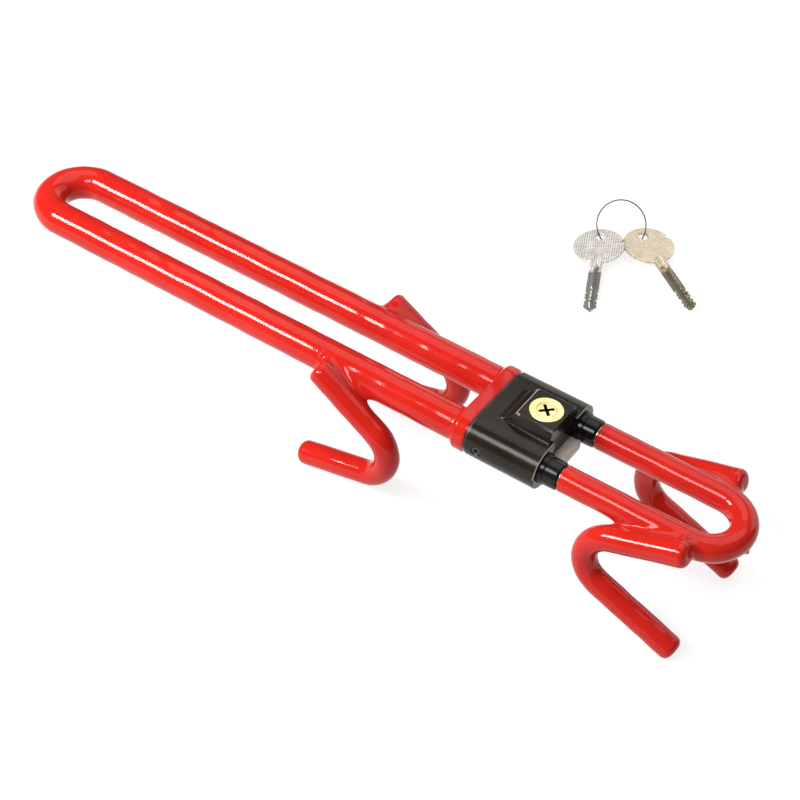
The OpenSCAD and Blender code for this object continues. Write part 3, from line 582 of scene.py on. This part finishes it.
def coverGrid():
    # Columns go round the head's outline, rows go forward; the front closes on the middle line.
    c = coverSizes
    top = stations((-20, -17, 0.8), (-17, -11.7, 0.3), (-11.7, -11.1, 0.2), (-11.1, 11.1, 0.37),
        (11.1, 11.7, 0.2), (11.7, 17, 0.3), (17, 20, 0.8))
    under = np.array([20, 16, 11.7, 11.5, 11.3, 11.1, 6, 0, -6, -11.1, -11.3, -11.5, -11.7, -16, -20],
        float)
    a = np.radians(np.concatenate([np.linspace(90, 20, 17)[1:-1], np.linspace(20, -20, 41),
        np.linspace(-20, -90, 17)[1:-1]]))
    y = np.concatenate([top, 20 + c["r"] * np.cos(a), under, -20 - c["r"] * np.cos(a)])
    z = np.concatenate([0 * top + c["r"], c["r"] * np.sin(a), 0 * under - c["r"], -c["r"] * np.sin(a)])
    isTop = np.concatenate([np.ones(len(top)), np.zeros(len(y) - len(top))])
    x = stations((c["rear"], -26, 0.8), (-26, -19, 0.22), (-19, -12, 0.5), (-12, -10.8, 0.3),
        (-10.8, 11.2, 0.38), (11.2, 11.5, 0.05), (11.5, 12.7, 0.4), (12.7, 13.5, 0.1))
    gx, gy = np.meshgrid(x, y, indexing="ij")
    gz = np.broadcast_to(z, gx.shape).copy()
    # rounded front edge: the outline shrinks along a quarter circle
    soft = 0.7
    back = np.clip((gx - (c["front"] - soft)) / soft, 0, 1)
    shrink = soft * (1 - np.sqrt(1 - back ** 2))
    flatY = np.clip(gy, -20, 20)
    ratio = (c["r"] - shrink) / c["r"]
    gy = flatY + (gy - flatY) * ratio
    gz = gz * ratio
    # the well round the brass face: grid points near its edge are drawn onto the circle
    far = np.hypot(gx, gy)
    snap = (np.abs(far - c["wellR"]) < 0.2) & (isTop > 0)
    gx = np.where(snap, gx * c["wellR"] / far, gx)
    gy = np.where(snap, gy * c["wellR"] / far, gy)
    raised = blendMax(gz, np.maximum(padHeight(gx, gy), -5), c["foot"])
    raised = np.where(np.hypot(gx, gy) < c["wellR"] - 0.02, c["padTop"] - 2.1, raised)
    gz = np.where(isTop > 0, raised, gz)
    gx = np.where(np.abs(gy) < c["midHalf"], np.minimum(gx, c["midFront"]), gx)
    close = 1 - np.concatenate([np.linspace(0, 0.96, 40), [1.0]])[1:, None]
    capX = np.broadcast_to(gx[-1], (len(close), len(y)))
    capY = np.broadcast_to(gy[-1], capX.shape)
    capZ = gz[-1] * close
    at = np.stack([np.concatenate([gx, capX]), np.concatenate([gy, capY]), np.concatenate([gz, capZ])], -1)
    mid = (at[:-1] + at[1:]) / 2
    mid = (mid + np.roll(mid, -1, 1)) / 2
    inWell = (np.hypot(mid[..., 0], mid[..., 1]) < c["wellKeep"]) & (mid[...,
        2] > 11) & (np.arange(len(mid))[:, None] < len(x) - 1)
    inBush = (np.hypot(np.abs(mid[..., 1]) - 20, mid[..., 2]) < c["bushKeep"]) & (mid[..., 0] > 13.4)
    # side screw recesses: a smooth dish pressed in from each round side
    out = np.hypot(at[..., 0] - c["screwX"], at[..., 2]) / c["screwR"]
    dish = 1.9 * np.clip(1.25 - out, 0, 0.5) / 0.5 * (np.abs(at[..., 1]) > 28)
    at[..., 1] -= np.sign(at[..., 1]) * dish
    # painted highlight: a thin light line where the pad's flat top turns down, and along the front rim
    onPad = (at[..., 2] > 15) & (np.hypot(at[..., 0], at[..., 1]) > c["wellR"] + 0.3)
    paintedGlint = np.exp(-(((at[..., 2] - 19.45) / 0.2) ** 2)) * onPad
    nearFront = np.arange(len(at))[:, None] < len(x)
    paintedGlint = np.maximum(paintedGlint, 0.7 * np.exp(-(((at[..., 0] - 13.15) / 0.22) ** 2)) * nearFront * (at[...,
        2] > 0) * (np.abs(at[..., 1]) > c["midHalf"]))
    at[..., 2] += 12.5
    return {"at": at, "loop": True, "keep": ~(inWell | inBush), "uv": np.stack([paintedGlint, 0 * paintedGlint], -1)}


def cavityGrid():
    # The inside of the cover, and its rear lip.
    c = coverSizes
    a = np.radians(np.linspace(90, -90, 30))
    flat = np.linspace(-19.5, 19.5, 80)
    dirY = np.concatenate([0 * flat, np.cos(a), 0 * flat, -np.cos(a)])
    dirZ = np.concatenate([0 * flat + 1, np.sin(a), 0 * flat - 1, -np.sin(a)])
    core = np.concatenate([flat, 0 * a + 20, -flat, 0 * a - 20])
    rows = [(c["rear"], c["r"])] + [(x, c["cavityR"]) for x in np.linspace(c["rear"], c["cavityFront"], 80)]
    rows += [(c["cavityFront"], r) for r in np.linspace(c["cavityR"], 0, 26)]
    rows = np.array(rows)
    at = np.stack([np.broadcast_to(rows[:, :1], (len(rows), len(core))), core + rows[:, 1:] * dirY,
        rows[:, 1:] * dirZ], -1)
    mid = (at[:-1] + at[1:]) / 2
    mid = (mid + np.roll(mid, -1, 1)) / 2
    inWell = (np.hypot(mid[..., 0], mid[..., 1]) < c["wellKeep"] + 1.5) & (mid[..., 2] > 10)
    inBush = (np.hypot(np.abs(mid[..., 1]) - 20, mid[..., 2]) < 8.7) & (mid[..., 0] > 9)
    at[..., 2] += 12.5
    return {"at": at, "loop": True, "keep": ~(inWell | inBush)}


def boxGrid(low, high, edge):
    # A block with rounded long edges: a rounded rectangle carried along X, closed at both ends.
    low, high = np.array(low, float), np.array(high, float)
    a = angles(48) + 0.01
    power = 0.14
    half = (high - low) / 2
    y = np.sign(np.cos(a)) * np.abs(np.cos(a)) ** power
    z = np.sign(np.sin(a)) * np.abs(np.sin(a)) ** power
    stops = np.array([(0, 0), (0, 0.94), (edge, 1), (high[0] - low[0] - edge, 1), (high[0] - low[0], 0.94),
        (high[0] - low[0], 0)])
    at = np.stack([np.broadcast_to(low[0] + stops[:, :1], (6, 48)),
        (low[1] + half[1]) + half[1] * stops[:, 1:] * y,
                   (low[2] + half[2]) + half[2] * stops[:, 1:] * z], -1)
    return {"at": at, "loop": True}


addPiece("headCover", [coverGrid(), cavityGrid()], "lock_frame", ["head_cover"], blackCover,
    38)
web = boxGrid((10.6, -13.5, 3.5), (17.5, 13.5, 10.6), 0.4)
addPiece("bushWeb", [web], "lock_frame", [], greyWeb, 38)

bushProfile = [(6.6, 9.1), (9.5, 9.1), (9.5, 10.9), (8.9, 11.0), (8.95, 15.6), (8.8, 16.0), (8.2, 16.3),
    (8.1, 22.9), (8.0, 23.5), (7.75, 24.05),
               (7.3, 24.4), (6.9, 24.47), (6.6, 24.3), (6.6, 9.1)]
for side, word in ((1, "left"), (-1, "right")):
    addPiece("guideBush_" + word, [lathe(bushProfile, 96, (0, side * 20, 12.5), "x")], "lock_frame",
        ["guide_bush_" + word],
             blackBush, 30)

barrelProfile = [(5.56, 2.1), (8.2, 2.1), (8.2, 17.95), (9.46, 18.0), (9.48, 19.75), (9.25, 19.98),
    (8.35, 20.0), (8.3, 19.93), (8.15, 19.93), (8.1, 20.0),
                 (6.75, 20.0), (6.7, 19.93), (6.55, 19.93), (6.5, 20.0), (5.68, 20.0), (5.56, 19.88),
                 (5.56, 2.1)]
addPiece("brassBarrel", [lathe(barrelProfile, 160, (0, 0, 12.5))], "lock_frame", ["lock_barrel"],
    brassFace, 30)


def plugGrid(slotHalf=0.9, arm=4.4, core=1.5, count=480):
    # Round plug whose hole is a cross: in each direction the hole reaches as far as the arm's end, its
    # side or the core.
    a = angles(count)
    turned = np.abs(np.mod(a, np.pi / 2) - np.pi / 4)    # angle from the nearest arm's middle line
    reach = np.minimum(arm / np.cos(turned), slotHalf / np.maximum(np.sin(turned), 1e-6))
    hole = np.maximum(reach, core)
    full = np.ones(count)
    rows = [(0 * full, 2.05), (5.48 * full, 2.05), (5.48 * full, 19.45), (5.3 * full, 19.68),
        (np.maximum(hole + 0.12, 4.7), 19.7), (hole + 0.1, 19.7),
            (hole, 19.6), (hole, 12.0), (hole, 5.6), (0 * full, 5.6)]
    at = np.stack([np.stack([r * np.cos(a), r * np.sin(a), full * z + 12.5], -1) for r, z in rows])
    uv = np.zeros((len(rows), count, 2))
    # the keyway's walls get 1, which darkens them in the brass: painted shade
    uv[6:, :, 0] = 1
    return {"at": at, "loop": True, "uv": uv}


addPiece("brassPlug", [plugGrid()], "plug", ["lock_plug"], brassFace, 30)
print("lock head made")

keySizes = {
    "ringPos": (-77.4, 250.7), "ringTurn": 40.0, "ringTilt": 45.0, "spread": 60.0, "ringR": 16.75,
    "wire": 0.4,
    "headR": 17.0, "headHalf": 1.0, "holeR": 3.3, "holeAt": 9.0, "notchR": 3.0, "notchAt": (-4.0, 17.4),
    "root": 24.0, "blade": 48.0, "armHalf": 4.2, "finHalf": 0.7, "collarR": 3.9, "collarLen": 12.0,
    "cuts": (1.4, 2.2, 1.0, 1.8),
}
floorZ = 12.5 - 71.4


def keyPlace(side, angle, roll):
    # Hole's centre and the axes of a key that hangs on its side of the ring and lies on the floor.
    k = keySizes
    spread, tilt, turn = math.radians(k["spread"]), math.radians(k["ringTilt"]), math.radians(k["ringTurn"])
    holeZ = 0.75 + k["ringR"] * math.sin(tilt) * (1 - math.cos(spread))
    a, b = side * k["ringR"] * math.sin(spread), k["ringR"] * math.cos(tilt) * (1 - math.cos(spread))
    hole = np.array([k["ringPos"][0] + a * math.cos(turn) - b * math.sin(turn),
        k["ringPos"][1] + a * math.sin(turn) + b * math.cos(turn), floorZ + holeZ])
    pitch = math.degrees(math.asin((holeZ - 4.2 - 0.15) / (k["root"] + k["blade"])))
    turns = Matrix.Rotation(math.radians(angle), 3, "Z") @ Matrix.Rotation(math.radians(pitch), 3,
        "Y") @ Matrix.Rotation(math.radians(roll), 3, "X")
    return hole, np.array(turns)


def headGrid():
    # Every column runs from the hole's edge straight to the outline, over the rim, back underneath and up
    # the hole's wall.
    k = keySizes
    count = 540
    a = angles(count)
    hole = np.stack([k["holeR"] * np.cos(a), k["holeR"] * np.sin(a)], -1)
    toward = math.atan2(k["notchAt"][1], k["notchAt"][0])
    gap = np.abs(np.mod(a - toward + np.pi, 2 * np.pi) - np.pi)
    far = math.hypot(*k["notchAt"])
    under = np.maximum(k["notchR"] ** 2 - (far * np.sin(gap)) ** 2, 0)
    bite = np.where((gap < 0.5) & (under > 0), far * np.cos(gap) - np.sqrt(under), 99)
    reach = np.minimum(k["headR"], bite)
    outline = np.stack([k["holeAt"] + reach * np.cos(a), reach * np.sin(a)], -1)
    centreIn = (outline - [k["holeAt"], 0]) / reach[:, None]
    h = k["headHalf"]
    rows = []
    mix = np.concatenate([[0.0, 0.02], np.linspace(0.05, 0.95, 26), [0.985]])
    face = [(1 - m) * hole + m * (outline - centreIn * 0.25) for m in mix]
    rows += [(hole * 1.06, h)] + [(f, h) for f in face[1:]] + [(outline - centreIn * 0.2, h - 0.01),
        (outline - centreIn * 0.05, h - 0.08), (outline, h - 0.25)]
    rows += [(outline, -h + 0.25), (outline - centreIn * 0.05, -h + 0.08),
        (outline - centreIn * 0.2, -h + 0.01)]
    rows += [(f, -h) for f in face[1:][::-1]] + [(hole * 1.06, -h), (hole, -h + 0.2), (hole, h - 0.2),
        (hole * 1.06, h)]
    at = np.stack([np.concatenate([xy, np.full((count, 1), z)], 1) for xy, z in rows])
    return at


def collarGrid():
    # A folded tube: its far end comes to a point above and below, with a dimple behind each point.
    k = keySizes
    a = angles(96)
    point = 3.2 * np.maximum(0, 1 - np.abs(np.mod(a, np.pi) - np.pi / 2) / 0.9)
    u = np.concatenate([[0, 0.0], np.linspace(0.02, 0.97, 26), [1.0, 1.0]])[:, None]
    r = k["collarR"] * np.ones_like(u) * np.ones_like(a)
    r[0] = 0
    r[1] -= 0.25
    r[-2] -= 0.3
    r[-1] = 0.6
    x = k["root"] - 1 + u * (k["collarLen"] - 2.6 + point)
    dent = np.exp(-(((x - k["root"] - 8.6) / 1.5) ** 2)) * np.exp(-(((np.mod(a,
        np.pi) - np.pi / 2) / 0.33) ** 2))
    r = r - np.where(r > 1, 1.5 * dent, 0)
    return np.stack([x, r * np.cos(a), r * np.sin(a)], -1)


def bladeGrid():
    # A plus-shaped section carried along the blade; each cut draws the arms in by its depth.
    k = keySizes
    x = np.concatenate([np.linspace(k["root"], k["root"] + 26, 20)[:-1],
        np.linspace(k["root"] + 26, k["root"] + k["blade"], 240)])
    arm = np.full_like(x, k["armHalf"])
    for number, cut in enumerate(k["cuts"]):
        middle = k["root"] + k["blade"] - 5 - 3.6 * number
        depth = cut / math.sqrt(2)
        arm = np.minimum(arm, k["armHalf"] - np.clip(depth + 0.35 - np.abs(x - middle), 0, depth))
    tip = k["root"] + k["blade"]
    arm = np.minimum(arm, k["armHalf"] - np.clip(2.8 - (tip + 0.4 - x), 0, 2.4))
    arm = np.maximum(arm, 1.2)[:, None]
    f, b = k["finHalf"], 0.14
    # one arm's corner points: root, flank, bevel, end, bevel, flank
    armU = [0 * arm + f, arm - b, arm, arm, arm - b, 0 * arm + f]
    armV = [f, f, f - b, -f + b, -f, -f]
    ys, zs = [], []
    for turn in range(4):
        c, s = round(math.cos(turn * math.pi / 2)), round(math.sin(turn * math.pi / 2))
        for u, v in zip(armU[:-1], armV[:-1]):
            ys.append(u * c + v * s)
            zs.append(u * s - v * c)
    at = np.stack([np.broadcast_to(x[:, None], (len(x), len(ys))), np.concatenate(ys, 1),
        np.concatenate(zs, 1)], -1)
    centre = at.copy() * [1, 0, 0]
    return np.concatenate([centre[:1], at, centre[-1:]])


def makeKey(name, node, body, side, angle, roll, material):
    hole, turns = keyPlace(side, angle, roll)
    patches = []
    for local in (headGrid(), collarGrid(), bladeGrid()):
        uv = local[..., :2].copy()
        patches.append({"at": local @ turns.T + hole, "loop": True, "uv": uv})
    return addPiece(name, patches, body, [node], material, 32)


makeKey("crossKey_left", "key_left", "key_one", -1, -66, 11, nickelBright)
makeKey("crossKey_right", "key_right", "key_two", 1, -35, 0, nickelWarm)


def ringGrid():
    # Two turns of thin wire wound as a flat coil, so the ring shows as a double line.
    k = keySizes
    turn, tilt = math.radians(k["ringTurn"]), math.radians(k["ringTilt"])
    a = np.linspace(0, 4 * np.pi, 260) + 2.1
    rise = np.linspace(-0.35, 0.35, 260)
    b = angles(14)
    r = k["ringR"] + k["wire"] * np.cos(b)[None, :]
    x, y = r * np.cos(a)[:, None], r * np.sin(a)[:, None] + k["ringR"]
    z = rise[:, None] + k["wire"] * np.sin(b)[None, :]
    at = np.stack([x, y, z], -1)
    at = np.concatenate([at[:1].mean(1, keepdims=True) + 0 * at[:1], at,
        at[-1:].mean(1, keepdims=True) + 0 * at[-1:]])
    turns = np.array(Matrix.Rotation(turn, 3, "Z") @ Matrix.Rotation(tilt, 3, "X"))
    return {"at": at @ turns.T + [k["ringPos"][0], k["ringPos"][1], floorZ + 0.75], "loop": True}


addPiece("splitRing", [ringGrid()], "ring", ["key_ring"], ringSteel, 40)
print("keys made")

finishes = {
    "frame_tube": drawnSteel, "end_plate": drawnSteel, "rear_hook_left": drawnSteel,
    "rear_hook_right": drawnSteel,
    "hook_bar": drawnSteel, "front_hook_left": drawnSteel, "front_hook_right": drawnSteel,
    "stop_rings": drawnSteel,
    "lock_block": darkSteel, "cover_screws": darkSteel, "barrel_pin": drawnSteel, "key_pins": brassPart,
    "driver_pins": drawnSteel, "pin_springs": springSteel, "cam_plate": drawnSteel, "cam_screw": drawnSteel,
    "lock_bolt_left": drawnSteel, "lock_bolt_right": drawnSteel, "bolt_plate": drawnSteel,
    "bolt_plate_screws": darkSteel,
}
for node, material in finishes.items():
    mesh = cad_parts[node].data
    mesh.materials.clear()
    mesh.materials.append(material)

stageSizes = {"floor": 120.0, "floorGlow": 0.78, "world": 0.12}


def makeFloor():
    half = stageSizes["floor"] / 2
    mesh = bpy.data.meshes.new("floor")
    corners = [(-half, -half, floorZ * mm), (half, -half, floorZ * mm), (half, half, floorZ * mm),
        (-half, half, floorZ * mm)]
    mesh.from_pydata(corners, [], [(0, 1, 2, 3)])
    floor = bpy.data.objects.new("floor", mesh)
    bpy.context.scene.collection.objects.link(floor)
    material, shader, place, add, links = newMaterial("paleFloor")
    cloud = add("ShaderNodeTexNoise", {"Vector": place.outputs["Object"], "Scale": 3.0})
    links.new(ramp(add, cloud.outputs["Fac"], [(0.3, (0.2, 0.2, 0.2)), (0.7, (0.22, 0.22, 0.22))]),
        shader.inputs["Base Color"])
    shader.inputs["Roughness"].default_value = 0.75
    shader.inputs["Emission Color"].default_value = (1, 1, 1, 1)
    shader.inputs["Emission Strength"].default_value = stageSizes["floorGlow"]
    mesh.materials.append(material)


def addLight(name, at, aim, size, sizeY, power, colour=(1, 1, 1)):
    data = bpy.data.lights.new(name, "AREA")
    data.shape, data.size, data.size_y, data.energy, data.color = "RECTANGLE", size, sizeY, power, colour
    light = bpy.data.objects.new(name, data)
    bpy.context.scene.collection.objects.link(light)
    back = (Vector(at) - Vector(aim)).normalized()
    along = Vector((1, 0, 0)) if abs(back.x) < 0.9 else Vector((0, 1, 0))
    right = (along - back * along.dot(back)).normalized()
    up = back.cross(right)
    turns = Matrix((right, up, back)).transposed().to_4x4()
    light.matrix_world = Matrix.Translation(at) @ turns
    return light


makeFloor()
addLight("keyBox", (-0.76, -0.66, 0.71), (-0.2, 0, 0), 0.44, 0.30, 20)
addLight("fillBox", (-0.14, -0.68, 0.74), (0.0, 0, 0), 0.5, 0.30, 7.5)
addLight("overheadBox", (-0.1, 0.55, 1.5), (-0.1, 0, 0), 2.2, 1.4, 19)
addLight("backBox", (0.2, 1.9, 0.7), (0, 0, 0), 2.4, 1.2, 14)
world = bpy.data.worlds.new("studio")
world.use_nodes = True
world.node_tree.nodes["Background"].inputs["Color"].default_value = (1, 1, 1, 1)
world.node_tree.nodes["Background"].inputs["Strength"].default_value = stageSizes["world"]
bpy.context.scene.world = world

camera = bpy.data.objects.new("camera", bpy.data.cameras.new("camera"))
bpy.context.scene.collection.objects.link(camera)
camera.data.lens, camera.data.sensor_width = 83.263, 36
camera.data.clip_start, camera.data.clip_end = 0.01, 200
right, up, back = (0.82691, 0.55832, 0.06709), (-0.42801, 0.54750, 0.71906), (0.36474, -0.62331, 0.69170)
camera.matrix_world = Matrix.Translation((0.29308, -0.65607, 0.71365)) @ Matrix((right, up,
    back)).transposed().to_4x4()
bpy.context.scene.camera = camera
bpy.context.scene.view_settings.view_transform = "Standard"

print("stage set")
